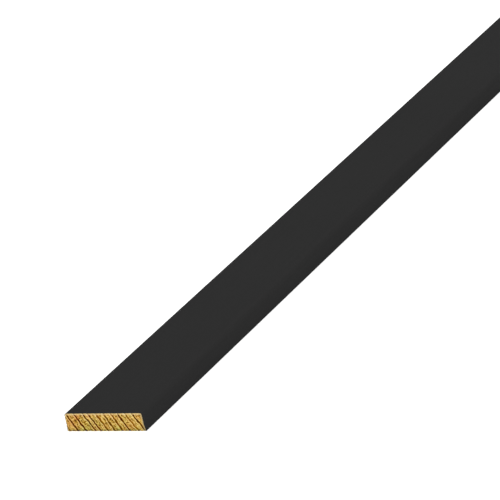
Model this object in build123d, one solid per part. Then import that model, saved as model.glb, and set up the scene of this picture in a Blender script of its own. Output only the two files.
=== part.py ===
from build123d import *
import os

# A flat moulding of planed softwood, painted on its face and edges and sawn square at both ends.
# It lies on its unpainted back. X runs across the width, Y along the length and Z up through the
# thickness, from an origin in the middle of the back face. All sizes are in millimetres.

# The stock
WIDTH = 42.0
THICKNESS = 9.0
LENGTH = 2400.0

# The four long arrises: the two at the front are rounded, and the two at the back only eased
FRONT_ARRIS_RADIUS = 1.5
BACK_ARRIS_RADIUS = 0.3


def moulding_section():
    """Section across the length, with its back on the origin."""
    with BuildSketch(Plane.XZ) as section:
        Rectangle(WIDTH, THICKNESS, align=(Align.CENTER, Align.MIN))
        corners = section.vertices().group_by(Axis.Z)
        back_corners, front_corners = corners[0], corners[-1]
        fillet(front_corners, radius=FRONT_ARRIS_RADIUS)
        fillet(back_corners, radius=BACK_ARRIS_RADIUS)
    return section.sketch


def moulding_strip():
    """One straight length of the section, half of it to each side of the origin."""
    strip = extrude(moulding_section(), amount=LENGTH / 2, both=True)
    strip.label = "moulding_strip"
    return strip


os.makedirs("parts", exist_ok=True)
export_step(moulding_strip(), "parts/moulding_strip.step")
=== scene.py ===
import math

import bmesh
import bpy
from bpy.props import FloatProperty, FloatVectorProperty, PointerProperty
from mathutils import Matrix, Vector, noise


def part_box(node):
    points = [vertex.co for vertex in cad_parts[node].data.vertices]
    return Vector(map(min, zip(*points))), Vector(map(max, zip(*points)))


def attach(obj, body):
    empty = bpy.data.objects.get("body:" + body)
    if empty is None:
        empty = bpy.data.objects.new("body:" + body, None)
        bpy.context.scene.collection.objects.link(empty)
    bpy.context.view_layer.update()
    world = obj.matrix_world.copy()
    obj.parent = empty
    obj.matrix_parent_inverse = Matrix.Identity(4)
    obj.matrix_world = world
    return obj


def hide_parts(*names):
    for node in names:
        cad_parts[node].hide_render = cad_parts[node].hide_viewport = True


bl_info = {
    "name": "Flat Moulding",
    "version": (1, 0, 0),
    "blender": (4, 5, 0),
    "location": "3D View > Sidebar > Moulding",
    "description": "A length of painted flat moulding, sawn square at both ends, on a studio floor",
    "category": "Object",
}

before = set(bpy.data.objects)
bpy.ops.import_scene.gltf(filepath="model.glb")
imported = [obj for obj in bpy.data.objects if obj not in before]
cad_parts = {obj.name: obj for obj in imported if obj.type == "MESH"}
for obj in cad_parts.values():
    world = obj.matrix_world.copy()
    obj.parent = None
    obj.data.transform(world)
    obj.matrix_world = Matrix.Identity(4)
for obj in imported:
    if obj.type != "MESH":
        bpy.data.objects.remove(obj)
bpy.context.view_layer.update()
STRIP_NODE = "moulding_strip"
STRIP_LOW, STRIP_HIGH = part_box(STRIP_NODE)

MM = 0.001
MID_THICKNESS = (STRIP_LOW.z + STRIP_HIGH.z) / 2

# The finishes, in their order on the strip's mesh
PAINTED, BACK, SAWN = range(3)

# How many runs the long faces are cut into, and how far a face of the back looks down at least
QUARTERS = 4
BACK_TILT = -0.7

# Shares of the map that the finishes are baked to: the gap at its edges, the painted side and the back
# of a quarter, and the two sawn ends above them
MAP_GAP = 0.005
LONG_TALL = 0.77
PAINTED_WIDE = 0.118
BACK_FROM = 0.130
BACK_WIDE = 0.115
SAWN_FROM = 0.79
SAWN_TALL = 0.20
SAWN_WIDE = 0.49

# The saw's relief: how much the marks bow, which share of the rings' height the fibres have, and how
# large the fibres, the tears and the ragged steps of the broken edge are
SAW_BOW = 6.0
FIBRE_SHARE = 0.3
FIBRE_SIZE = 0.35 * MM
TEAR_SIZE = 0.8 * MM
RAGGED_SIZE = 0.7 * MM

# Growth rings, in millimetres: half the width of a latewood ridge, a gap wider than any between two
# lines, and how far the masks beside a line reach
LATEWOOD_HALF = 0.8
WIDEST_GAP = 6.0
MASK_REACH = 2.0

# Share of a curve's run that a step in it takes up
CURVE_STEP = 0.001

# Masks beside a ring line, as stops of (millimetres past the line, value)
PALE_BEFORE_LINE = ((-1.25, 0.0), (-1.0, 0.95), (-0.70, 0.95), (-0.55, 0.0))
PALE_PAST_LINE = ((0.5, 0.0), (0.66, 0.5), (0.9, 0.45), (1.15, 0.0))
AMBER_WOOD = ((-0.79, 0.0), (-0.62, 1.0), (0.50, 1.0), (0.70, 0.0))
SAWN_LINE = ((-0.69, 0.0), (-0.49, 1.0), (0.37, 1.0), (0.59, 0.0))
PLANED_LINE = ((-2.0, 0.12), (-0.6, 0.0), (-0.3, 0.9), (0.2, 1.0), (0.9, 0.35), (2.0, 0.12))

# What most of a noise lies between
NOISE_RANGE = (0.3, 0.7)

# How much the length counts in patterns, which draws them out along the grain
LINE_RUN = 0.02
CANAL_RUN = 0.012
PAINT_RUN = 0.015
SAWN_RUN = 0.05

# Distance from one planer mark to the next
PLANER_PITCH = 1.8 * MM

# Specular levels: next to nothing on the matt paint and the rough wood
PAINT_SPECULAR = 0.01
SAWN_SPECULAR = 0.02
PLANED_SPECULAR = 0.35

# The stage
FLOOR_SIZE = 40
FLOOR_DROP = 0.1 * MM
FLOOR_WHITE = (0.88, 0.88, 0.88, 1.0)
WHITE = (1.0, 1.0, 1.0, 1.0)
KEY_SOFTNESS = math.radians(40)
KEY_TURN = (math.radians(50), 0, math.radians(40))
SENSOR_WIDTH = 36
NEAREST_SEEN = 0.01
FARTHEST_SEEN = 200

# The dark latewood lines where they cross half the thickness, from left to right on the near end:
# the place of each, in millimetres from the middle of the width, and how strong it is.
RING_LINES = (
    (-29.0, 0.75),
    (-25.3, 0.85),
    (-21.6, 0.80),
    (-17.61, 0.94),
    (-13.30, 1.00),
    (-8.30, 1.00),
    (-5.55, 0.96),
    (-1.41, 0.83),
    (2.31, 0.91),
    (6.32, 0.89),
    (9.89, 1.00),
    (14.09, 0.78),
    (17.86, 0.96),
    (22.60, 0.80),
    (26.40, 0.85),
    (29.60, 0.80),
)

# Dark resin specks on the sawn ends: the place of each across the width and above the back, and its
# radius, all in millimetres.
RESIN_DOTS = (
    (-16.6, 6.8, 0.24),
    (-15.5, 5.3, 0.60),
    (-14.6, 2.0, 0.34),
    (-13.2, 6.4, 0.32),
    (-11.6, 6.7, 0.34),
    (-11.0, 4.4, 0.36),
    (-10.7, 3.5, 0.34),
    (-10.2, 5.0, 0.28),
    (-9.4, 3.4, 0.20),
    (-3.1, 2.9, 0.40),
    (-2.1, 7.8, 0.28),
    (0.1, 5.9, 0.38),
    (0.4, 5.2, 0.28),
    (0.2, 3.8, 0.26),
    (3.4, 6.0, 0.44),
    (4.2, 5.4, 0.38),
    (4.8, 4.5, 0.34),
    (4.9, 2.3, 0.32),
    (6.6, 7.3, 0.36),
    (9.8, 7.8, 0.38),
    (11.3, 6.7, 0.30),
    (11.9, 4.3, 0.28),
    (17.5, 7.4, 0.22),
    (19.2, 7.8, 0.36),
)

# Soft stains on the sawn ends: the place of each across the width and above the back, its radius, all
# in millimetres, and its tint, above 0 for reddish and below 0 for greenish.
STAINS = (
    (-18.5, 4.4, 6.0, 1.0),
    (-14.4, 7.2, 2.4, 1.2),
    (-9.0, 7.8, 3.5, 0.6),
    (18.5, 7.6, 3.5, 0.8),
    (12.5, 2.5, 3.5, 0.4),
    (-11.0, 1.5, 5.0, -0.9),
    (-4.0, 3.6, 4.0, -0.5),
    (6.5, 1.2, 4.0, -0.8),
    (11.0, 7.0, 4.0, -0.4),
)


class MouldingSizes(bpy.types.PropertyGroup):
    """Outside sizes of the strip, and its small edges"""

    width: FloatProperty(
        name="Width",
        description="Size of the strip across its face",
        default=STRIP_HIGH.x - STRIP_LOW.x,
        unit="LENGTH",
    )
    thickness: FloatProperty(
        name="Thickness",
        description="Size of the strip from its back to its face",
        default=STRIP_HIGH.z - STRIP_LOW.z,
        unit="LENGTH",
    )
    length: FloatProperty(
        name="Length",
        description="Size of the strip from one sawn end to the other",
        default=STRIP_HIGH.y - STRIP_LOW.y,
        unit="LENGTH",
    )
    front_radius: FloatProperty(
        name="Front arris radius",
        description="Rounding of the two long arrises beside the face",
        default=1.5 * MM,
        unit="LENGTH",
    )
    back_radius: FloatProperty(
        name="Back arris radius",
        description="Easing of the two long arrises beside the back",
        default=0.3 * MM,
        unit="LENGTH",
    )
    mesh_step: FloatProperty(
        name="Mesh step",
        description="Size of a mesh face on the sawn ends, which divides the sizes above",
        default=0.15 * MM,
        unit="LENGTH",
    )


class SawnEndRelief(bpy.types.PropertyGroup):
    """How rough the saw left the ends"""

    ring_height: FloatProperty(
        name="Ring height",
        description="How far the hard latewood stands out of the soft earlywood",
        default=0.07 * MM,
        unit="LENGTH",
    )
    mark_pitch: FloatProperty(
        name="Saw mark pitch",
        description="Distance from one saw mark to the next",
        default=0.9 * MM,
        unit="LENGTH",
    )
    mark_depth: FloatProperty(
        name="Saw mark depth",
        description="Depth of a saw mark",
        default=0.02 * MM,
        unit="LENGTH",
    )
    tear_depth: FloatProperty(
        name="Tear depth",
        description="Depth of the deepest torn fibres along the back edge",
        default=0.35 * MM,
        unit="LENGTH",
    )
    tear_height: FloatProperty(
        name="Tear height",
        description="How far the torn fibres reach up from the back",
        default=0.7 * MM,
        unit="LENGTH",
    )
    broken_depth: FloatProperty(
        name="Broken edge depth",
        description="How far the saw broke the left edge of an end back",
        default=0.5 * MM,
        unit="LENGTH",
    )
    broken_width: FloatProperty(
        name="Broken edge width",
        description="How far the broken edge reaches in from the left",
        default=0.6 * MM,
        unit="LENGTH",
    )


class PineGrowth(bpy.types.PropertyGroup):
    """How the growth rings lie in the strip"""

    lean: FloatProperty(
        name="Lean",
        description="Sideways run of a ring line for each unit of thickness, from back to face",
        default=-0.54,
    )
    lean_swing: FloatProperty(
        name="Lean swing",
        description="How much the lean changes across the width",
        default=0.07,
    )
    lean_period: FloatProperty(
        name="Lean period",
        description="Distance across the width over which the lean swings once",
        default=25 * MM,
        unit="LENGTH",
    )
    lean_crest: FloatProperty(
        name="Lean crest",
        description="Place across the width where the rings stand steepest",
        default=4 * MM,
        unit="LENGTH",
    )
    drift: FloatProperty(
        name="Drift",
        description="Sideways drift of the grain over the whole length",
        default=2.4 * MM,
        unit="LENGTH",
    )
    wave: FloatProperty(
        name="Wave",
        description="Sideways sway of the grain along the length",
        default=1.1 * MM,
        unit="LENGTH",
    )
    wave_length: FloatProperty(
        name="Wave length",
        description="Length of one sway of the grain",
        default=0.86,
        unit="LENGTH",
    )
    waviness: FloatProperty(
        name="Waviness",
        description="How far a ring line strays from its smooth run at most",
        default=0.36 * MM,
        unit="LENGTH",
    )


class PineColours(bpy.types.PropertyGroup):
    """Colours of the bare pine, as linear values"""

    end_early: FloatVectorProperty(
        name="End earlywood",
        description="Soft wood between the rings on a sawn end",
        subtype="COLOR",
        default=(0.695, 0.379, 0.063),
    )
    end_pale: FloatVectorProperty(
        name="End pale growth",
        description="Palest wood, beside a ring line, on a sawn end",
        subtype="COLOR",
        default=(1.0, 0.74, 0.32),
    )
    end_amber: FloatVectorProperty(
        name="End amber wood",
        description="Amber wood close beside a ring line on a sawn end",
        subtype="COLOR",
        default=(1.0, 0.53, 0.006),
    )
    end_late: FloatVectorProperty(
        name="End latewood",
        description="Reddish dark ring line on a sawn end",
        subtype="COLOR",
        default=(0.150, 0.016, 0.0001),
    )
    end_late_olive: FloatVectorProperty(
        name="End olive latewood",
        description="Greenish dark ring line on a sawn end",
        subtype="COLOR",
        default=(0.088, 0.022, 0.0001),
    )
    end_late_deep: FloatVectorProperty(
        name="End deepest latewood",
        description="Darkest stretches of a ring line on a sawn end",
        subtype="COLOR",
        default=(0.062, 0.007, 0.0001),
    )
    fleck: FloatVectorProperty(
        name="Flecks",
        description="Short dark flecks on a sawn end",
        subtype="COLOR",
        default=(0.21, 0.10, 0.004),
    )
    glint: FloatVectorProperty(
        name="Glints",
        description="Bright torn fibres on a sawn end",
        subtype="COLOR",
        default=(0.99, 0.70, 0.22),
    )
    # Rim colours: wood paled by primer, and under the face also a painted highlight along the top edge
    # of a sawn end
    soaked: FloatVectorProperty(
        name="Soaked rim",
        description="Wood just under the paint, paler from primer that soaked in",
        subtype="COLOR",
        default=(0.86, 0.62, 0.27),
    )
    # Painted highlight: the brightest spots of the rim, where pale growth meets the paint of the face
    soak_and_highlight_pale: FloatVectorProperty(
        name="Soaked pale growth",
        description="Palest wood just under the paint of the face",
        subtype="COLOR",
        default=(1.0, 0.88, 0.52),
    )
    stain_red: FloatVectorProperty(
        name="Reddish stain",
        description="What the reddest stain on a sawn end leaves of the wood's colour",
        subtype="COLOR",
        default=(1.0, 0.80, 0.80),
    )
    stain_green: FloatVectorProperty(
        name="Greenish stain",
        description="What the greenest stain on a sawn end leaves of the wood's colour",
        subtype="COLOR",
        default=(0.86, 1.0, 0.88),
    )
    soaked_grey: FloatVectorProperty(
        name="Soaked right rim",
        description="Wood just under the paint of the right edge, greyer from the primer",
        subtype="COLOR",
        default=(0.46, 0.36, 0.185),
    )
    # Painted shade: the two colours below darken a sawn end towards the back and along its torn bottom
    # edge
    low_shade: FloatVectorProperty(
        name="Low shade",
        description="What the shade towards the back leaves of the wood's colour on a sawn end",
        subtype="COLOR",
        default=(0.87, 0.92, 0.80),
    )
    torn_shade: FloatVectorProperty(
        name="Torn edge shade",
        description="What the torn bottom edge of a sawn end leaves of the wood's colour",
        subtype="COLOR",
        default=(0.33, 0.47, 0.48),
    )
    back_early: FloatVectorProperty(
        name="Back earlywood",
        description="Soft wood between the rings on the planed back",
        subtype="COLOR",
        default=(0.72, 0.47, 0.18),
    )
    back_late: FloatVectorProperty(
        name="Back latewood",
        description="Ring line on the planed back",
        subtype="COLOR",
        default=(0.50, 0.23, 0.050),
    )
    back_cloud: FloatVectorProperty(
        name="Back clouding",
        description="Darker clouds on the planed back",
        subtype="COLOR",
        default=(0.64, 0.37, 0.13),
    )
    resin_halo: FloatVectorProperty(
        name="Resin halo",
        description="Wood that a resin speck on a sawn end has tinted",
        subtype="COLOR",
        default=(0.66, 0.33, 0.006),
    )
    resin: FloatVectorProperty(
        name="Resin",
        description="Resin canals, as dots on the ends and fine streaks on the back",
        subtype="COLOR",
        default=(0.12, 0.052, 0.001),
    )


class PaintFinish(bpy.types.PropertyGroup):
    """The matt black paint"""

    colour: FloatVectorProperty(
        name="Colour",
        description="Colour of the dry film, as linear values",
        subtype="COLOR",
        default=(0.0272, 0.0272, 0.0272),
    )
    roughness: FloatProperty(
        name="Roughness",
        description="Mean roughness of the dry film",
        subtype="FACTOR",
        default=0.78,
    )
    film: FloatProperty(
        name="Film thickness",
        description="Thickness of the film where the saw cut through it",
        default=0.14 * MM,
        unit="LENGTH",
    )
    left_build: FloatProperty(
        name="Left build-up",
        description="How much thicker the film is on the left front arris than on the face",
        default=0.80 * MM,
        unit="LENGTH",
    )
    right_build: FloatProperty(
        name="Right build-up",
        description="How much thicker the film is on the right edge than on the face",
        default=0.65 * MM,
        unit="LENGTH",
    )
    wood_radius: FloatProperty(
        name="Wood radius",
        description="Rounding of the bare wood's front corners, which the paint makes rounder",
        default=0.45 * MM,
        unit="LENGTH",
    )
    wrap: FloatProperty(
        name="Wrap",
        description="How far the paint reaches round onto the back, on average",
        default=0.9 * MM,
        unit="LENGTH",
    )


class StudioSetup(bpy.types.PropertyGroup):
    """The camera, the floor and the lights"""

    aim: FloatVectorProperty(
        name="Aim",
        description="Point on the floor in the middle of the picture",
        subtype="TRANSLATION",
        default=(-0.0296, -0.9861, 0.0),
    )
    distance: FloatProperty(
        name="Distance",
        description="From the aim to the camera",
        default=1.784,
        unit="LENGTH",
    )
    azimuth: FloatProperty(
        name="Azimuth",
        description="Turn of the camera about the vertical, from looking along the strip",
        default=math.radians(30.18),
        unit="ROTATION",
    )
    elevation: FloatProperty(
        name="Elevation",
        description="Height of the camera above the floor, as an angle",
        default=math.radians(19.41),
        unit="ROTATION",
    )
    roll: FloatProperty(
        name="Roll",
        description="Turn of the camera about its own axis",
        default=math.radians(-12.70),
        unit="ROTATION",
    )
    lens: FloatProperty(
        name="Lens", description="Focal length in millimetres", default=251.4, unit="CAMERA"
    )
    sky: FloatProperty(
        name="Sky",
        description="Strength of the even light from all round",
        default=0.82,
    )
    key: FloatProperty(
        name="Key", description="Strength of the sun-like key light", default=0.55
    )
    floor_lift: FloatProperty(
        name="Floor lift",
        description="Brightness added to the floor where it is seen, which lights nothing",
        default=0.58,
    )


class MouldingProperties(bpy.types.PropertyGroup):
    """Everything that can be set on the moulding and its studio"""

    sizes: PointerProperty(type=MouldingSizes)
    sawn_end: PointerProperty(type=SawnEndRelief)
    growth: PointerProperty(type=PineGrowth)
    pine: PointerProperty(type=PineColours)
    paint: PointerProperty(type=PaintFinish)
    studio: PointerProperty(type=StudioSetup)


def moulding(context):
    """The properties of this add-on."""
    return context.scene.flat_moulding


class NodeBench:
    """Adds nodes to one node tree and wires them."""

    def __init__(self, tree):
        self.tree = tree

    def add(self, kind, **settings):
        node = self.tree.nodes.new(kind)
        for name, value in settings.items():
            setattr(node, name, value)
        return node

    def feed(self, socket, value):
        """Links an output to the socket, or sets a plain value on it."""
        if isinstance(value, bpy.types.NodeSocket):
            self.tree.links.new(value, socket)
        else:
            socket.default_value = value

    def math(self, operation, *values, clamp=False):
        node = self.add("ShaderNodeMath", operation=operation, use_clamp=clamp)
        for socket, value in zip(node.inputs, values):
            self.feed(socket, value)
        return node.outputs[0]

    def remap(self, value, low, high, to_low=0.0, to_high=1.0, smooth=False):
        kind = "SMOOTHSTEP" if smooth else "LINEAR"
        node = self.add("ShaderNodeMapRange", interpolation_type=kind, clamp=True)
        for name, given in zip(
            ("Value", "From Min", "From Max", "To Min", "To Max"),
            (value, low, high, to_low, to_high),
        ):
            self.feed(node.inputs[name], given)
        return node.outputs[0]

    def spread(self, uneven, low, high):
        """Turns what most of a noise lies between into low to high."""
        return self.remap(uneven, *NOISE_RANGE, low, high)

    def vector(self, operation, first, second):
        node = self.add("ShaderNodeVectorMath", operation=operation)
        self.feed(node.inputs[0], first)
        self.feed(node.inputs[1], second)
        return node.outputs["Value" if operation == "DISTANCE" else "Vector"]

    def in_mm(self, place, along, across=1.0):
        """The place in millimetres, counted by these shares along and across the strip."""
        return self.vector("MULTIPLY", place, (across / MM, along / MM, 1 / MM))

    def split(self, vector):
        node = self.add("ShaderNodeSeparateXYZ")
        self.feed(node.inputs[0], vector)
        return node.outputs

    def combine(self, *values):
        node = self.add("ShaderNodeCombineXYZ")
        for socket, value in zip(node.inputs, values):
            self.feed(socket, value)
        return node.outputs[0]

    def noise(self, vector, scale=1.0, detail=2.0, rough=0.5):
        node = self.add("ShaderNodeTexNoise", noise_dimensions="3D")
        self.feed(node.inputs["Vector"], vector)
        node.inputs["Scale"].default_value = scale
        node.inputs["Detail"].default_value = detail
        node.inputs["Roughness"].default_value = rough
        return node.outputs["Fac"]

    def mix(self, factor, first, second, blend="MIX"):
        node = self.add("ShaderNodeMix", data_type="RGBA", blend_type=blend)
        self.feed(node.inputs["Factor"], factor)
        for name, colour in (("A", first), ("B", second)):
            socket = next(s for s in node.inputs if s.name == name and s.type == "RGBA")
            linked = isinstance(colour, bpy.types.NodeSocket)
            self.feed(socket, colour if linked else (*colour, 1.0))
        return next(s for s in node.outputs if s.type == "RGBA")

    def ramp(self, factor, stops):
        node = self.add("ShaderNodeValToRGB")
        elements = node.color_ramp.elements
        while len(elements) < len(stops):
            elements.new(0.5)
        for element, (place, colour) in zip(elements, stops):
            element.position = place
            element.color = (*colour, 1.0)
        self.feed(node.inputs["Fac"], factor)
        return node.outputs["Color"]

    def curve(self, value, points):
        """Straight runs through (place, value) points, all between 0 and 1."""
        node = self.add("ShaderNodeFloatCurve")
        line = node.mapping.curves[0]
        while len(line.points) < len(points):
            line.points.new(0.5, 0.5)
        for point, place in zip(line.points, points):
            point.location = place
            point.handle_type = "VECTOR"
        node.mapping.update()
        self.feed(node.inputs["Value"], value)
        return node.outputs["Value"]

    def bump(self, height, distance, normal=None):
        node = self.add("ShaderNodeBump")
        self.feed(node.inputs["Height"], height)
        node.inputs["Distance"].default_value = distance
        node.inputs["Strength"].default_value = 1.0
        if normal:
            self.feed(node.inputs["Normal"], normal)
        return node.outputs["Normal"]


def grain_sway(y, growth):
    """Sideways drift and sway of the grain at a place along the length, in metres, nothing at the near
    end."""
    along = y - STRIP_LOW.y
    length = STRIP_HIGH.y - STRIP_LOW.y
    turn = math.tau * along / growth.wave_length
    return growth.drift * along / length + growth.wave * math.sin(turn)


def ring_place(x, y, z, growth):
    """Where the ring surface through a point crosses the middle of the thickness, in millimetres."""
    turn = math.tau * (x - growth.lean_crest) / growth.lean_period
    lean = growth.lean + growth.lean_swing * math.cos(turn)
    return (x - lean * (z - MID_THICKNESS) + grain_sway(y, growth)) / MM


def latewood_at(place):
    """How much latewood there is at a ring place, from 0 to 1."""
    return max(
        strength * max(0.0, 1 - abs(place - line) / LATEWOOD_HALF) for line, strength in RING_LINES
    )


def smooth_ring_place(bench, place, growth):
    """The ring place of a point as nodes, in metres, without the waviness of the lines."""
    x, y, z = bench.split(place)
    from_crest = bench.math("SUBTRACT", x, growth.lean_crest)
    turn = bench.math("MULTIPLY", from_crest, math.tau / growth.lean_period)
    lean = bench.math("MULTIPLY_ADD", bench.math("COSINE", turn), growth.lean_swing, growth.lean)
    rise = bench.math("SUBTRACT", z, MID_THICKNESS)
    straight = bench.math("SUBTRACT", x, bench.math("MULTIPLY", lean, rise))

    # Drift and sway along the length, nothing at the near end
    along = bench.math("SUBTRACT", y, STRIP_LOW.y)
    sway = bench.math("SINE", bench.math("MULTIPLY", along, math.tau / growth.wave_length))
    drift = bench.math("MULTIPLY", along, growth.drift / (STRIP_HIGH.y - STRIP_LOW.y))
    return bench.math("ADD", straight, bench.math("MULTIPLY_ADD", sway, growth.wave, drift))


def nearest_line(bench, ring):
    """The distance of a ring place past the nearest ring line, in millimetres, and its strength."""
    places = [line for line, strength in RING_LINES]
    first, last = places[0], places[-1]
    share = bench.remap(ring, first * MM, last * MM)
    shares = [(line - first) / (last - first) for line in places]
    strength = bench.curve(share, [(at, line[1]) for at, line in zip(shares, RING_LINES)])

    # Ring number, which rises by one from line to line, and the gap between the lines on both sides
    rings = len(places) - 1
    number = bench.curve(share, [(at, i / rings) for i, at in enumerate(shares)])
    steps = []
    for left, right, start, end in zip(places, places[1:], shares, shares[1:]):
        gap = (right - left) / WIDEST_GAP
        steps += [(start + CURVE_STEP, gap), (end - CURVE_STEP, gap)]
    gap = bench.math("MULTIPLY", bench.curve(share, steps), WIDEST_GAP)
    phase = bench.math("FRACT", bench.math("MULTIPLY_ADD", number, rings, 0.5))
    return bench.math("MULTIPLY", bench.math("SUBTRACT", phase, 0.5), gap), strength


def ring_group(growth):
    """Node group that gives, for a point in the strip, its ring place in metres, its distance from the
    nearest ring line, in millimetres and positive past the line, and the strength of that line."""
    tree = bpy.data.node_groups.new("pine_growth_rings", "ShaderNodeTree")
    tree.interface.new_socket("Place", in_out="INPUT", socket_type="NodeSocketVector")
    for output in ("Ring place", "Past line", "Strength"):
        tree.interface.new_socket(output, in_out="OUTPUT", socket_type="NodeSocketFloat")
    bench = NodeBench(tree)
    place = bench.add("NodeGroupInput").outputs["Place"]

    # Small waviness of each line
    wobble = bench.noise(bench.in_mm(place, LINE_RUN), scale=0.6, detail=3.0)
    shift = bench.remap(wobble, 0.25, 0.75, -growth.waviness, growth.waviness)
    ring = bench.math("ADD", smooth_ring_place(bench, place, growth), shift)
    past_line, strength = nearest_line(bench, ring)

    outputs = bench.add("NodeGroupOutput").inputs
    for socket, value in zip(outputs, (ring, past_line, strength)):
        bench.feed(socket, value)
    return tree


def new_material(name):
    """A new material with its bench, its shader and the Object coordinates."""
    material = bpy.data.materials.new(name)
    material.use_nodes = True
    bench = NodeBench(material.node_tree)
    shader = material.node_tree.nodes["Principled BSDF"]
    place = bench.add("ShaderNodeTexCoord").outputs["Object"]
    return material, bench, shader, place


def ring_nodes(bench, place, rings):
    """The ring group's outputs in a material."""
    node = bench.add("ShaderNodeGroup", node_tree=rings)
    bench.feed(node.inputs["Place"], place)
    return node.outputs


def ring_mask(bench, past_line, stops):
    """A mask that runs straight through (millimetres past a ring line, value) stops."""
    share = bench.remap(past_line, -MASK_REACH, MASK_REACH)
    places = [(at + MASK_REACH) / (2 * MASK_REACH) for at, value in stops]
    greys = [(value, value, value) for at, value in stops]
    return bench.ramp(share, list(zip(places, greys)))


def resin_canals(bench, place, radius=0.17):
    """Small round canals that run along the grain: 1 inside a canal, 0 outside."""
    voronoi = bench.add("ShaderNodeTexVoronoi", feature="F1")
    bench.feed(voronoi.inputs["Vector"], bench.in_mm(place, CANAL_RUN))
    voronoi.inputs["Scale"].default_value = 0.8
    chance = bench.add("ShaderNodeSeparateColor")
    bench.feed(chance.inputs[0], voronoi.outputs["Color"])
    present = bench.math("GREATER_THAN", chance.outputs[0], 0.45)
    inside = bench.remap(voronoi.outputs["Distance"], radius * 0.5, radius, 1.0, 0.0, smooth=True)
    return bench.math("MULTIPLY", inside, present)


def skin_depth(bench, place, sizes, paint):
    """Depth below the painted skin of the face and edges, in metres, on a sawn end. The paint lies
    thicker on the edges than on the face, so the depth counts from further in there."""
    x, y, z = bench.split(place)
    radius = paint.wood_radius
    # The film thins out towards the back: on the left just below the arris, on the right near the back
    left = bench.remap(z, 7.6 * MM, 8.7 * MM, 0.07 * paint.left_build, paint.left_build)
    right = bench.remap(z, 0.0, 3 * MM, 0.3 * paint.right_build, paint.right_build)
    build = bench.remap(x, -1 * MM, 1 * MM, left, right)

    # Rounded corners: distance from the inner rectangle, taken off the radius
    beyond = bench.math("SUBTRACT", bench.math("ABSOLUTE", x), sizes.width / 2 - radius)
    side = bench.math("ADD", beyond, build)
    top = bench.math("SUBTRACT", z, sizes.thickness - radius)
    over_side = bench.math("MAXIMUM", side, 0.0)
    over_top = bench.math("MAXIMUM", top, 0.0)
    square = bench.math("MULTIPLY", over_top, over_top)
    outside = bench.math("SQRT", bench.math("MULTIPLY_ADD", over_side, over_side, square))
    inside = bench.math("MINIMUM", bench.math("MAXIMUM", side, top), 0.0)
    return bench.math("SUBTRACT", radius, bench.math("ADD", outside, inside))


def black_paint(paint, rings):
    """Matt black paint, through which the grain and the roller's stipple show faintly."""
    material, bench, shader, place = new_material("matt_black_paint")
    away = bench.math("ABSOLUTE", ring_nodes(bench, place, rings)["Past line"])
    ridge = bench.remap(away, 0.2, 1.0, 1.0, 0.0, smooth=True)
    grain = bench.noise(bench.in_mm(place, PAINT_RUN), scale=2.2, detail=3.0)
    stipple = bench.noise(bench.in_mm(place, 0.6), scale=1.1, detail=2.0)
    cloud = bench.noise(place, scale=9.0, detail=2.0)

    tone = bench.math("ADD", bench.spread(cloud, -0.03, 0.03), bench.spread(grain, -0.03, 0.03))
    darker = [c * 0.5 for c in paint.colour]
    lighter = [c * 1.5 for c in paint.colour]
    colour = bench.mix(bench.math("ADD", 0.5, tone), darker, lighter)
    bench.feed(shader.inputs["Base Color"], colour)
    rough = bench.math("ADD", paint.roughness, bench.spread(stipple, -0.05, 0.05))
    bench.feed(shader.inputs["Roughness"], rough)
    shader.inputs["Specular IOR Level"].default_value = PAINT_SPECULAR
    raised = bench.bump(ridge, 0.010 * MM)
    fibres = bench.bump(grain, 0.020 * MM, normal=raised)
    bench.feed(shader.inputs["Normal"], bench.bump(stipple, 0.018 * MM, normal=fibres))
    return material


def dots_at(bench, place, across, up):
    """Nearness to the placed specks on a sawn end: 1 at the middle of one, 0 at twice its radius. Two
    noises, across and up, make the specks ragged."""
    stray = bench.combine(bench.spread(across, -0.2, 0.2), 0.0, bench.spread(up, -0.2, 0.2))
    ragged = bench.vector("ADD", bench.in_mm(place, 0.0), stray)
    marks = 0.0
    for x, z, radius in RESIN_DOTS:
        away = bench.vector("DISTANCE", ragged, (x, 0, z))
        marks = bench.math("MAXIMUM", marks, bench.remap(away, 0.0, 2 * radius, 1.0, 0.0))
    return marks


def stains_at(bench, place):
    """Sum of the placed soft stains on a sawn end, from red, positive, to green, negative."""
    flat = bench.in_mm(place, 0.0)
    total = 0.0
    for x, z, radius, tint in STAINS:
        away = bench.vector("DISTANCE", flat, (x, 0, z))
        inside = bench.remap(away, 0.0, radius, 1.0, 0.0, smooth=True)
        total = bench.math("MULTIPLY_ADD", inside, tint, total)
    return total


def earlywood(bench, pine, streaks, tufts, fibre):
    """Soft wood with dark and bright streaks and tufts."""
    grain = 0.0
    for part, share in ((streaks, 0.30), (tufts, 0.58), (fibre, 0.12)):
        grain = bench.math("MULTIPLY_ADD", part, share, grain)
    wood = bench.mix(bench.remap(grain, 0.503, 0.555), pine.end_early, pine.fleck)
    return bench.mix(bench.remap(grain, 0.498, 0.445), wood, pine.glint)


def grow_beside_lines(bench, wood, pine, past_line, pale):
    """Paler growth on both sides of each ring line, and amber wood close to it."""
    soft_pale = ring_mask(bench, past_line, PALE_PAST_LINE)
    wood = bench.mix(bench.math("MAXIMUM", pale, soft_pale), wood, pine.end_pale)
    return bench.mix(ring_mask(bench, past_line, AMBER_WOOD), wood, pine.end_amber)


def add_resin(bench, wood, pine, place, fibre, tufts):
    """Resin canals, scattered and placed. The placed ones tint the wood round them."""
    dots = dots_at(bench, place, fibre, tufts)
    wood = bench.mix(bench.remap(dots, 0.0, 0.4, 0.0, 0.7), wood, pine.resin_halo)
    scattered = bench.math("MULTIPLY", resin_canals(bench, place), 0.8)
    placed = bench.remap(dots, 0.3, 0.65, smooth=True)
    return bench.mix(bench.math("MAXIMUM", scattered, placed), wood, pine.resin)


def latewood_colour(bench, pine, cloud, patch):
    """Colour of the ring lines, from olive to reddish, and deepest in patches."""
    late = bench.mix(bench.remap(cloud, 0.42, 0.58), pine.end_late_olive, pine.end_late)
    return bench.mix(bench.remap(patch, 0.44, 0.58), late, pine.end_late_deep)


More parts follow.
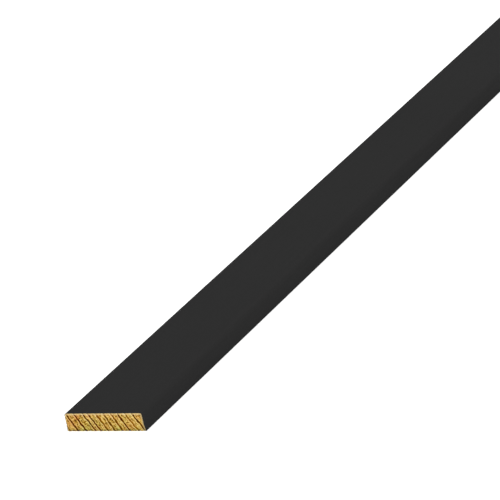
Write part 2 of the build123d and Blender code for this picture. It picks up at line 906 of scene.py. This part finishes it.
def stain(bench, wood, pine, place, cloud):
    """Reddish and greenish stains."""
    tint = bench.math("ADD", stains_at(bench, place), bench.spread(cloud, -0.4, 0.4))
    red = bench.math("MAXIMUM", tint, 0.0, clamp=True)
    wood = bench.mix(red, wood, pine.stain_red, blend="MULTIPLY")
    green = bench.math("MULTIPLY", tint, -1.0, clamp=True)
    return bench.mix(green, wood, pine.stain_green, blend="MULTIPLY")


def shade_bottom(bench, wood, pine, across, height):
    """Painted shade: darker towards the back, next to the floor, and most of all a painted shadow along
    the torn bottom edge.
    """
    low = bench.remap(height, 0.0, 8 * MM, 1.0, 0.0)
    wood = bench.mix(low, wood, pine.low_shade, blend="MULTIPLY")
    torn = bench.remap(bench.noise(across, scale=0.95, detail=0.0), 0.42, 0.58, 0.15, 1.0)
    above = bench.remap(height, 0.5 * MM, 1.35 * MM, 1.0, 0.0, smooth=True)
    below = bench.remap(height, 0.05 * MM, 0.65 * MM, 0.35, 1.0)
    # Painted shadow of the torn fibres along the bottom edge
    torn_edge_shadow = bench.math("MULTIPLY", bench.math("MULTIPLY", above, below), torn)
    return bench.mix(torn_edge_shadow, wood, pine.torn_shade, blend="MULTIPLY")


def rim_soak_and_highlight(bench, wood, pine, sizes, axes, depth, line, pale):
    """Pale rim under the skin, widest under the face and greyer on the right: wood paled by primer that
    soaked in, and along the end's top edge a painted highlight.
    """
    soaked = bench.remap(depth, 0.55 * MM, 1.05 * MM, 1.0, 0.0, smooth=True)
    half = sizes.width / 2
    right = bench.remap(axes["X"], half - 2.5 * MM, half - 1.0 * MM)
    lower = bench.remap(right, 0.0, 1.0, 0.4, 0.9)
    down = bench.remap(axes["Z"], 6.8 * MM, 8.0 * MM, lower, 1.0)
    through = bench.math("MULTIPLY_ADD", line, -0.35, 1.0)
    factor = bench.math("MULTIPLY", bench.math("MULTIPLY", soaked, down), through)
    # Painted highlight on the rim's palest spots, where pale growth meets the paint
    rim = bench.mix(bench.math("MULTIPLY", pale, 0.8), pine.soaked, pine.soak_and_highlight_pale)
    return bench.mix(factor, wood, bench.mix(right, rim, pine.soaked_grey))


def sawn_pine(pine, paint, sizes, rings):
    """End grain: ring lines, resin dots and torn fibre, with the cut edge of the paint round it."""
    material, bench, shader, place = new_material("sawn_pine_end")
    grown = ring_nodes(bench, place, rings)
    axes = bench.split(place)
    height = axes["Z"]
    across = bench.in_mm(place, SAWN_RUN)
    fibre = bench.noise(across, scale=4.5, detail=3.0, rough=0.6)
    patch = bench.noise(across, scale=0.8, detail=4.0, rough=0.7)
    cloud = bench.noise(across, scale=0.34, detail=1.0)

    # Ring lines with ragged sides, wider in some patches than in others
    narrowed = bench.remap(patch, 0.38, 0.60, 1.18, 0.84)
    jitter = bench.spread(fibre, -0.12, 0.12)
    past_line = bench.math("MULTIPLY_ADD", grown["Past line"], narrowed, jitter)
    line = ring_mask(bench, past_line, SAWN_LINE)
    pale = ring_mask(bench, past_line, PALE_BEFORE_LINE)
    fade = bench.remap(patch, 0.34, 0.48, 0.91, 1.04)
    shown = bench.math("MULTIPLY", line, bench.math("MULTIPLY", grown["Strength"], fade))

    # The same point, drawn out along the rings, for streaks and tufts that follow them
    ring = bench.math("DIVIDE", grown["Ring place"], MM)
    end = bench.math("MULTIPLY", axes["Y"], SAWN_RUN / MM)
    drawn_out = bench.combine(ring, end, bench.math("MULTIPLY", height, 0.25 / MM))
    short_grain = bench.combine(ring, end, bench.math("MULTIPLY", height, 0.75 / MM))
    streaks = bench.noise(drawn_out, scale=1.2, detail=2.0)
    tufts = bench.noise(short_grain, scale=1.7, detail=2.5)

    wood = earlywood(bench, pine, streaks, tufts, fibre)
    wood = grow_beside_lines(bench, wood, pine, past_line, pale)
    wood = add_resin(bench, wood, pine, place, fibre, tufts)
    wood = bench.mix(shown, wood, latewood_colour(bench, pine, cloud, patch))
    wood = stain(bench, wood, pine, place, cloud)
    # Painted shade towards the back, and painted shadow along the torn bottom edge
    wood = shade_bottom(bench, wood, pine, across, height)
    depth = skin_depth(bench, place, sizes, paint)
    uneven = bench.spread(bench.noise(across, scale=1.3, detail=1.0), -0.30 * MM, 0.30 * MM)
    soaked = bench.math("ADD", depth, uneven)
    # Pale rim under the paint: wood paled by primer, and a painted highlight along the end's top edge
    wood = rim_soak_and_highlight(bench, wood, pine, sizes, axes, soaked, line, pale)

    # Fine dark fibres all over, and bright torn ones everywhere but on the lines
    wood = bench.mix(bench.remap(fibre, 0.50, 0.75, 0.0, 0.30), wood, pine.fleck)
    bare = bench.math("MULTIPLY_ADD", shown, -1.0, 1.0, clamp=True)
    torn_up = bench.math("MULTIPLY", bench.remap(fibre, 0.50, 0.25, 0.0, 0.22), bare)
    wood = bench.mix(torn_up, wood, pine.glint)

    # The paint film's own cut edge
    skin = bench.math("MULTIPLY_ADD", uneven, 0.25, depth)
    film = bench.remap(skin, paint.film * 0.8, paint.film * 1.2, 1.0, 0.0)
    bench.feed(shader.inputs["Base Color"], bench.mix(film, wood, paint.colour))

    bench.feed(shader.inputs["Roughness"], bench.spread(tufts, 0.70, 0.88))
    shader.inputs["Specular IOR Level"].default_value = SAWN_SPECULAR
    hard = bench.remap(bench.math("ABSOLUTE", past_line), 0.3, 0.7, 1.0, 0.0, smooth=True)
    rings_up = bench.bump(hard, 0.03 * MM)
    bench.feed(shader.inputs["Normal"], bench.bump(tufts, 0.05 * MM, normal=rings_up))
    return material


def planed_pine(pine, paint, sizes, rings):
    """Long grain of the bare back, with planer marks and the paint's uneven edge along both arrises."""
    material, bench, shader, place = new_material("planed_pine_back")
    grown = ring_nodes(bench, place, rings)
    axes = bench.split(place)

    line = ring_mask(bench, grown["Past line"], PLANED_LINE)
    wood = bench.mix(bench.math("MULTIPLY", line, grown["Strength"]), pine.back_early, pine.back_late)
    fibre = bench.noise(bench.in_mm(place, LINE_RUN), scale=3.0, detail=3.0, rough=0.6)
    wood = bench.mix(bench.remap(fibre, 0.35, 0.75, 0.0, 0.35), wood, pine.back_late)
    cloud = bench.noise(bench.in_mm(place, 0.12), scale=0.05, detail=2.0)
    wood = bench.mix(bench.remap(cloud, 0.4, 0.75, 0.0, 0.3), wood, pine.back_cloud)
    canals = bench.math("MULTIPLY", resin_canals(bench, place, radius=0.2), 0.6)
    wood = bench.mix(canals, wood, pine.resin)

    # Paint that crept round both long arrises
    inset = bench.math("SUBTRACT", sizes.width / 2, bench.math("ABSOLUTE", axes["X"]))
    creep = bench.noise(bench.in_mm(place, 0.25, across=0.3), scale=0.5, detail=4.0, rough=0.6)
    edge = bench.remap(creep, 0.25, 0.75, 0.1 * paint.wrap, 1.9 * paint.wrap)
    crept = bench.remap(bench.math("SUBTRACT", inset, edge), -0.08 * MM, 0.08 * MM, 1.0, 0.0)
    bench.feed(shader.inputs["Base Color"], bench.mix(crept, wood, paint.colour))

    bench.feed(shader.inputs["Roughness"], bench.spread(fibre, 0.55, 0.70))
    shader.inputs["Specular IOR Level"].default_value = PLANED_SPECULAR
    ripple = bench.math("SINE", bench.math("MULTIPLY", axes["Y"], math.tau / PLANER_PITCH))
    planed = bench.bump(ripple, 0.002 * MM)
    bench.feed(shader.inputs["Normal"], bench.bump(fibre, 0.02 * MM, normal=planed))
    return material


def round_corner(point, corner, radius):
    """Moves a point of the square corner at (x, z) onto the rounded one."""
    side = math.copysign(1, corner[0])
    up = 1 if corner[1] > STRIP_LOW.z else -1
    centre = (corner[0] - side * radius, corner[1] - up * radius)
    over = side * (point.x - centre[0]) / radius
    above = up * (point.z - centre[1]) / radius
    if over <= 0 or above <= 0:
        return
    point.x = centre[0] + side * radius * over * math.sqrt(1 - above * above / 2)
    point.z = centre[1] + up * radius * above * math.sqrt(1 - over * over / 2)


def section_sheet(mesh, sizes):
    """The near end as a fine flat grid with the strip's rounded section."""
    columns = round(sizes.width / sizes.mesh_step)
    rows = round(sizes.thickness / sizes.mesh_step)
    bmesh.ops.create_grid(mesh, x_segments=columns, y_segments=rows, size=0.5)
    bmesh.ops.scale(mesh, vec=(sizes.width, sizes.thickness, 1), verts=mesh.verts)
    bmesh.ops.rotate(mesh, matrix=Matrix.Rotation(math.pi / 2, 3, "X"), verts=mesh.verts)
    bmesh.ops.translate(mesh, vec=(0, STRIP_LOW.y, MID_THICKNESS), verts=mesh.verts)
    for x in (STRIP_LOW.x, STRIP_HIGH.x):
        for z, radius in ((STRIP_LOW.z, sizes.back_radius), (STRIP_HIGH.z, sizes.front_radius)):
            for vertex in mesh.verts:
                round_corner(vertex.co, (x, z), radius)


def run_out(mesh, sizes):
    """Extrudes the end sheet along the strip and cuts the long faces into quarters."""
    grown = bmesh.ops.extrude_face_region(mesh, geom=mesh.faces[:])
    far = [v for v in grown["geom"] if isinstance(v, bmesh.types.BMVert)]
    bmesh.ops.translate(mesh, vec=(0, sizes.length, 0), verts=far)
    for quarter in range(1, QUARTERS):
        at = STRIP_LOW.y + sizes.length * quarter / QUARTERS
        everything = mesh.verts[:] + mesh.edges[:] + mesh.faces[:]
        bmesh.ops.bisect_plane(mesh, geom=everything, plane_co=(0, at, 0), plane_no=(0, 1, 0))
    bmesh.ops.recalc_face_normals(mesh, faces=mesh.faces)


def saw_marks(x, y, z, relief):
    """Depth of the bowed marks that the saw left."""
    sweep = (x + SAW_BOW * z * z) / relief.mark_pitch
    uneven = noise.noise(Vector((sweep * 0.37, z / (4 * MM), y)))
    return relief.mark_depth * (0.5 + 0.5 * math.sin(math.tau * sweep)) * (0.6 + uneven)


def torn_fibres(x, y, z, relief):
    """Depth of the fibres torn out along the back edge."""
    low = max(0.0, 1 - (z - STRIP_LOW.z) / relief.tear_height)
    torn = max(0.0, noise.noise(Vector((x / TEAR_SIZE, y, 3.3))) - 0.05)
    return relief.tear_depth * low * min(1.0, 2.2 * torn)


def broken_edge(x, y, z, relief):
    """Depth of the left edge, which the saw broke back."""
    beside = max(0.0, 1 - (x - STRIP_LOW.x) / relief.broken_width)
    up = min(1.0, (z - STRIP_LOW.z) / (3 * MM))
    ragged = 0.8 + 0.5 * noise.noise(Vector((5.7, y, z / RAGGED_SIZE)))
    return relief.broken_depth * beside * up * ragged


def saw_depth(vertex, relief, growth):
    """How deep the saw cut at a point of an end, below the level of hard latewood."""
    x, y, z = vertex.co
    soft = 1 - latewood_at(ring_place(x, y, z, growth))
    depth = relief.ring_height * soft + saw_marks(x, y, z, relief)
    fibre = noise.noise(Vector((x / FIBRE_SIZE, y, z / FIBRE_SIZE)))
    depth += FIBRE_SHARE * relief.ring_height * (0.5 + 0.5 * fibre)
    return depth + torn_fibres(x, y, z, relief) + broken_edge(x, y, z, relief)


def rough_ends(mesh, relief, growth):
    """Cuts the saw's relief into both ends, which stay within the strip's length."""
    for end, inward in ((STRIP_LOW.y, 1), (STRIP_HIGH.y, -1)):
        on_end = [v for v in mesh.verts if abs(v.co.y - end) < MM]
        depths = [saw_depth(v, relief, growth) for v in on_end]
        highest = min(depths)
        for vertex, depth in zip(on_end, depths):
            vertex.co.y += inward * (depth - highest)


def side_of(face):
    """Which finish a face wears."""
    centre = face.calc_center_median()
    if abs(centre.y) > STRIP_HIGH.y - MM:
        return SAWN
    return BACK if face.normal.z < BACK_TILT else PAINTED


def bake_place(place, side, quarter, sizes):
    """Place on the map of a point of the mesh. The four quarters of the long faces stand side by side
    below, each with its painted side and its back, and the two sawn ends lie above them."""
    if side == SAWN:
        left = MAP_GAP if quarter == 0 else 0.5 + MAP_GAP
        across = (place.x - STRIP_LOW.x) / sizes.width
        up = (place.z - STRIP_LOW.z) / sizes.thickness
        return left + SAWN_WIDE * across, SAWN_FROM + SAWN_TALL * up
    column = quarter / QUARTERS
    start = STRIP_LOW.y + sizes.length * column
    up = MAP_GAP + LONG_TALL * (place.y - start) * QUARTERS / sizes.length
    if side == BACK:
        return column + BACK_FROM + BACK_WIDE * (place.x - STRIP_LOW.x) / sizes.width, up
    round_section = place.x + math.copysign(STRIP_HIGH.z - place.z, place.x)
    full = sizes.width + 2 * sizes.thickness
    return column + MAP_GAP + PAINTED_WIDE * (round_section / full + 0.5), up


def lay_out_map(mesh, sizes):
    """Gives every face its place on the map that the finishes are baked to."""
    layer = mesh.loops.layers.uv.new("OFBake")
    for face in mesh.faces:
        centre = face.calc_center_median()
        share = (centre.y - STRIP_LOW.y) / sizes.length
        quarter = min(QUARTERS - 1, int(share * QUARTERS))
        for loop in face.loops:
            loop[layer].uv = bake_place(loop.vert.co, face.material_index, quarter, sizes)


def finish_faces(mesh):
    """Sets each face's finish and keeps the sawn edges crisp."""
    for face in mesh.faces:
        face.material_index = side_of(face)
        face.smooth = True
    for edge in mesh.edges:
        kinds = {face.material_index for face in edge.link_faces}
        edge.smooth = not (SAWN in kinds and len(kinds) > 1)


class MOULDING_OT_make_strip(bpy.types.Operator):
    """Makes the painted strip with its sawn ends and its bare back"""

    bl_idname = "moulding.make_strip"
    bl_label = "Make strip"

    def execute(self, context):
        settings = moulding(context)
        mesh = bmesh.new()
        section_sheet(mesh, settings.sizes)
        run_out(mesh, settings.sizes)
        if any(not edge.is_manifold for edge in mesh.edges):
            raise RuntimeError("the strip's mesh isn't closed")
        finish_faces(mesh)
        lay_out_map(mesh, settings.sizes)
        rough_ends(mesh, settings.sawn_end, settings.growth)
        data = bpy.data.meshes.new("painted_strip")
        mesh.to_mesh(data)
        mesh.free()

        rings = ring_group(settings.growth)
        data.materials.append(black_paint(settings.paint, rings))
        data.materials.append(planed_pine(settings.pine, settings.paint, settings.sizes, rings))
        data.materials.append(sawn_pine(settings.pine, settings.paint, settings.sizes, rings))
        strip = bpy.data.objects.new("painted_strip", data)
        context.scene.collection.objects.link(strip)
        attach(strip, "root")
        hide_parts(STRIP_NODE)
        return {"FINISHED"}


def seen_rays(bench):
    """1 for the rays that see the background: the camera's, and those of gloss and glass."""
    rays = bench.add("ShaderNodeLightPath").outputs
    shiny = bench.math("MAXIMUM", rays["Is Glossy Ray"], rays["Is Transmission Ray"])
    return bench.math("MAXIMUM", rays["Is Camera Ray"], shiny)


def white_floor(studio):
    """Matt white, with a lift that only shows where the floor is seen."""
    material = bpy.data.materials.new("white_floor")
    material.use_nodes = True
    bench = NodeBench(material.node_tree)
    material.node_tree.nodes.clear()
    matt = bench.add("ShaderNodeBsdfDiffuse")
    matt.inputs["Color"].default_value = FLOOR_WHITE
    lift = bench.add("ShaderNodeEmission")
    bench.feed(lift.inputs["Strength"], bench.math("MULTIPLY", seen_rays(bench), studio.floor_lift))
    both = bench.add("ShaderNodeAddShader")
    bench.feed(both.inputs[0], matt.outputs[0])
    bench.feed(both.inputs[1], lift.outputs[0])
    bench.feed(bench.add("ShaderNodeOutputMaterial").inputs["Surface"], both.outputs[0])
    return material


def make_floor(context, studio):
    """A wide white floor that keeps the strip's shadow."""
    mesh = bmesh.new()
    bmesh.ops.create_grid(mesh, x_segments=1, y_segments=1, size=FLOOR_SIZE)
    bmesh.ops.translate(mesh, vec=(0, 0, -FLOOR_DROP), verts=mesh.verts)
    data = bpy.data.meshes.new("studio_floor")
    mesh.to_mesh(data)
    mesh.free()
    data.materials.append(white_floor(studio))
    floor = bpy.data.objects.new("studio_floor", data)
    context.scene.collection.objects.link(floor)


def make_lights(context, studio):
    """An even light from all round, white to the camera, and a soft key light from the front right."""
    world = bpy.data.worlds.new("studio_sky")
    world.use_nodes = True
    bench = NodeBench(world.node_tree)
    background = world.node_tree.nodes["Background"]
    bench.feed(background.inputs["Strength"], bench.remap(seen_rays(bench), 0.0, 1.0, studio.sky, 1.0))
    background.inputs["Color"].default_value = WHITE
    context.scene.world = world

    key = bpy.data.lights.new("key_light", "SUN")
    key.energy = studio.key
    key.angle = KEY_SOFTNESS
    lamp = bpy.data.objects.new("key_light", key)
    lamp.rotation_euler = KEY_TURN
    context.scene.collection.objects.link(lamp)


def make_camera(context, studio):
    """The camera, with a long lens, at the picture's angle."""
    data = bpy.data.cameras.new("camera")
    data.lens = studio.lens
    data.sensor_width = SENSOR_WIDTH
    data.clip_start = NEAREST_SEEN
    data.clip_end = FARTHEST_SEEN
    camera = bpy.data.objects.new("camera", data)
    turn = Matrix.Rotation(studio.azimuth, 4, "Z")
    tilt = Matrix.Rotation(math.pi / 2 - studio.elevation, 4, "X")
    roll = Matrix.Rotation(studio.roll, 4, "Z")
    back = Matrix.Translation((0, 0, studio.distance))
    camera.matrix_world = Matrix.Translation(studio.aim) @ turn @ tilt @ roll @ back
    context.scene.collection.objects.link(camera)
    context.scene.camera = camera


class MOULDING_OT_make_stage(bpy.types.Operator):
    """Makes the floor, the lights and the camera"""

    bl_idname = "moulding.make_stage"
    bl_label = "Make stage"

    def execute(self, context):
        studio = moulding(context).studio
        make_floor(context, studio)
        make_lights(context, studio)
        make_camera(context, studio)
        context.scene.view_settings.view_transform = "Standard"
        return {"FINISHED"}


class MOULDING_PT_panel(bpy.types.Panel):
    """Lists the moulding's steps and settings"""

    bl_idname = "MOULDING_PT_panel"
    bl_label = "Flat Moulding"
    bl_space_type = "VIEW_3D"
    bl_region_type = "UI"
    bl_category = "Moulding"

    def draw(self, context):
        layout = self.layout
        settings = moulding(context)
        for operator in (MOULDING_OT_make_strip, MOULDING_OT_make_stage):
            layout.operator(operator.bl_idname)
        for part in ("sizes", "sawn_end", "growth", "pine", "paint", "studio"):
            group = getattr(settings, part)
            box = layout.box()
            for name in group.bl_rna.properties.keys():
                if name not in ("rna_type", "name"):
                    box.prop(group, name)


CLASSES = (
    MouldingSizes,
    SawnEndRelief,
    PineGrowth,
    PineColours,
    PaintFinish,
    StudioSetup,
    MouldingProperties,
    MOULDING_OT_make_strip,
    MOULDING_OT_make_stage,
    MOULDING_PT_panel,
)


def register():
    for kind in CLASSES:
        bpy.utils.register_class(kind)
    bpy.types.Scene.flat_moulding = PointerProperty(type=MouldingProperties)


def unregister():
    del bpy.types.Scene.flat_moulding
    for kind in reversed(CLASSES):
        bpy.utils.unregister_class(kind)


def main():
    register()
    bpy.ops.moulding.make_strip()
    bpy.ops.moulding.make_stage()


if __name__ == "__main__":
    main()
